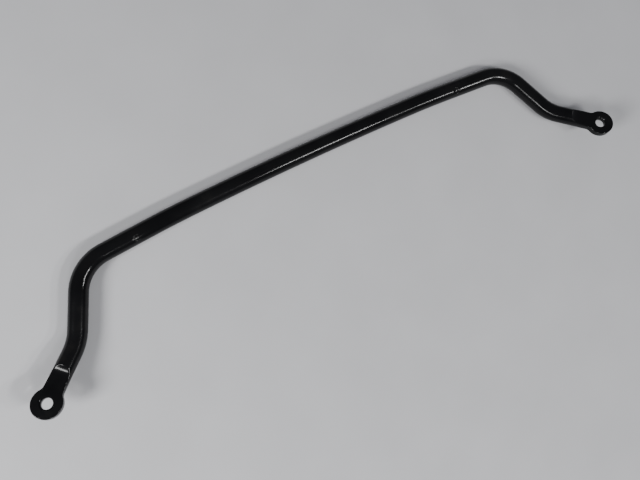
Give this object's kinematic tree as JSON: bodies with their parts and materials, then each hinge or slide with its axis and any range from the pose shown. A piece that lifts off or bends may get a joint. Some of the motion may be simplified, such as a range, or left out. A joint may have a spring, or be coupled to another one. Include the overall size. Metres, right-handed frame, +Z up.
{
  "type": "sway bar",
  "caption": "Round steel anti-roll bar with a gently bowed middle, an arm bent off each end, and a flattened neck and drilled eye for the drop link.",
  "frame": {"origin": "middle of the bar's box in X and Y, on the surface that the bar lies on", "axes": "+X along the bar to its right eye, +Y away from the arms, +Z up"},
  "size_m": [0.9078, 0.1812, 0.0434],
  "materials": {
    "black_paint": "satin"
  },
  "bodies": {
    "root": {"centre_bar": "black_paint", "left_shoulder": "black_paint", "left_bush_seat": "black_paint", "left_main_bend": "black_paint", "left_arm": "black_paint", "left_elbow": "black_paint", "left_end_bar": "black_paint", "left_neck": "black_paint", "left_eye": "black_paint", "right_shoulder": "black_paint", "right_bush_seat": "black_paint", "right_main_bend": "black_paint", "right_arm": "black_paint", "right_elbow": "black_paint", "right_end_bar": "black_paint", "right_neck": "black_paint", "right_eye": "black_paint"}
  },
  "joints": []
}
